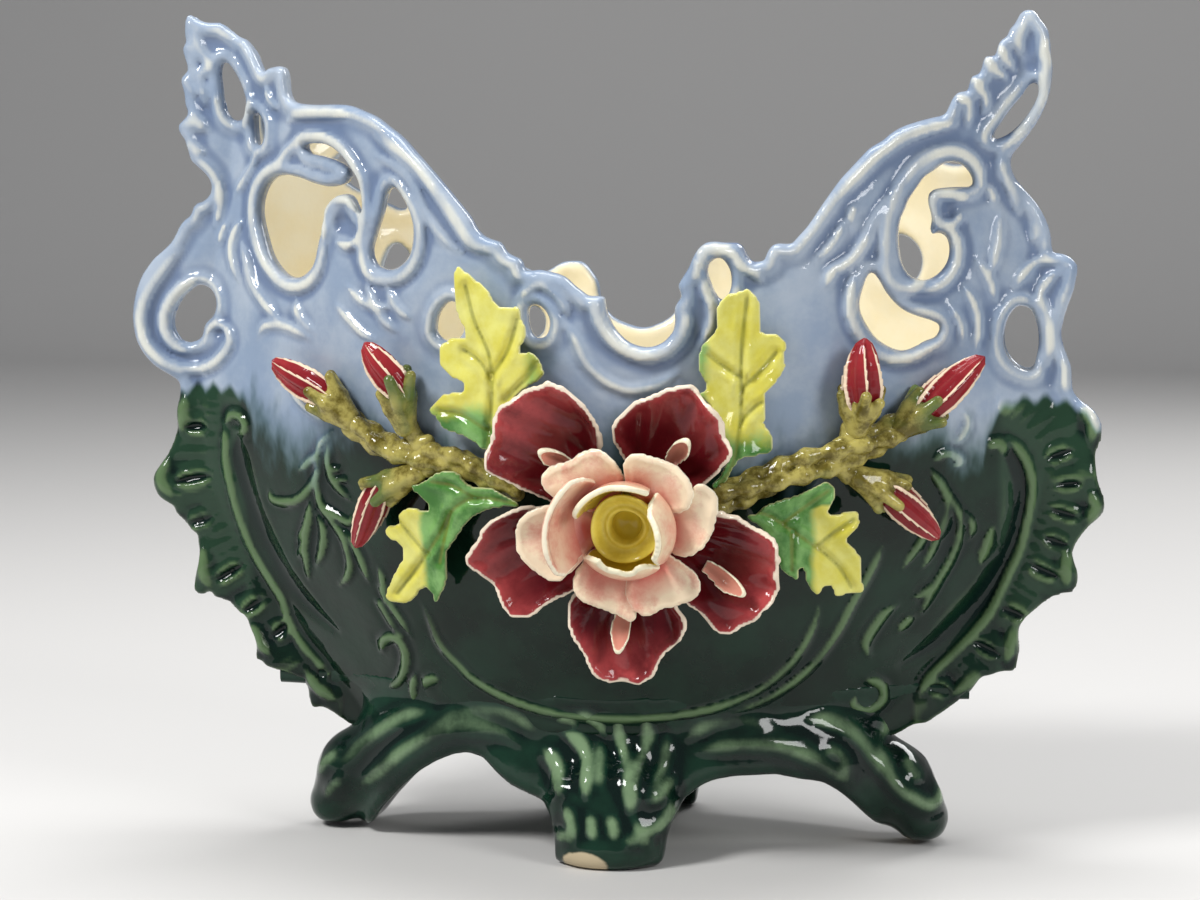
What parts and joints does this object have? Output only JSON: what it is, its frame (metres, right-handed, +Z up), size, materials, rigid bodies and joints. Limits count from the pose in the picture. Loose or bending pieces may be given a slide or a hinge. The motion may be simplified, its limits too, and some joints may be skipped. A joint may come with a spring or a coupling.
{
  "type": "openwork ceramic jardiniere",
  "caption": "Footed openwork majolica jardiniere, blue glaze running into green, with an applied crimson flower, leaves and budding stems.",
  "frame": {"origin": "on the table, under the middle of the bounding box", "axes": "+X to the viewer's right along the length, +Y from the flowered front to the back, +Z up"},
  "size_m": [0.3456, 0.1776, 0.29],
  "materials": {
    "wall_glaze": "gloss",
    "inside_glaze": "gloss",
    "green_glaze": "gloss",
    "crimson_glaze": "gloss",
    "pink_glaze": "gloss",
    "pale_glaze": "gloss",
    "yellow_glaze": "gloss",
    "leaf_glaze": "gloss",
    "leaf_green_glaze": "gloss",
    "stem_glaze": "gloss",
    "bud_glaze": "gloss"
  },
  "bodies": {
    "root": {"front_wall": "wall_glaze", "back_wall": "wall_glaze", "bowl_floor": "inside_glaze", "foot_base": "green_glaze", "flower_pad": "green_glaze", "outer_petal_1": "crimson_glaze", "outer_petal_2": "crimson_glaze", "outer_petal_3": "crimson_glaze", "outer_petal_4": "crimson_glaze", "outer_petal_5": "crimson_glaze", "curled_petal_1": "pale_glaze", "curled_petal_2": "pale_glaze", "curled_petal_3": "pale_glaze", "curled_petal_4": "pale_glaze", "middle_petal_1": "pink_glaze", "middle_petal_2": "pink_glaze", "middle_petal_3": "pink_glaze", "middle_petal_4": "pink_glaze", "middle_petal_5": "pink_glaze", "middle_petal_6": "pink_glaze", "cup_petal_1": "pale_glaze", "cup_petal_2": "pale_glaze", "cup_petal_3": "pale_glaze", "cup_petal_4": "pale_glaze", "flower_centre": "yellow_glaze", "upper_left_leaf": "leaf_glaze", "upper_right_leaf": "leaf_glaze", "lower_left_leaf": "leaf_green_glaze", "lower_right_leaf": "leaf_green_glaze", "left_upper_stem": "stem_glaze", "left_upper_calyx": "stem_glaze", "left_upper_bud": "bud_glaze", "left_middle_stem": "stem_glaze", "left_middle_calyx": "stem_glaze", "left_middle_bud": "bud_glaze", "left_lower_stem": "stem_glaze", "left_lower_calyx": "stem_glaze", "left_lower_bud": "bud_glaze", "right_upper_stem": "stem_glaze", "right_upper_calyx": "stem_glaze", "right_upper_bud": "bud_glaze", "right_middle_stem": "stem_glaze", "right_middle_calyx": "stem_glaze", "right_middle_bud": "bud_glaze", "right_lower_stem": "stem_glaze", "right_lower_calyx": "stem_glaze", "right_lower_bud": "bud_glaze"}
  },
  "joints": []
}
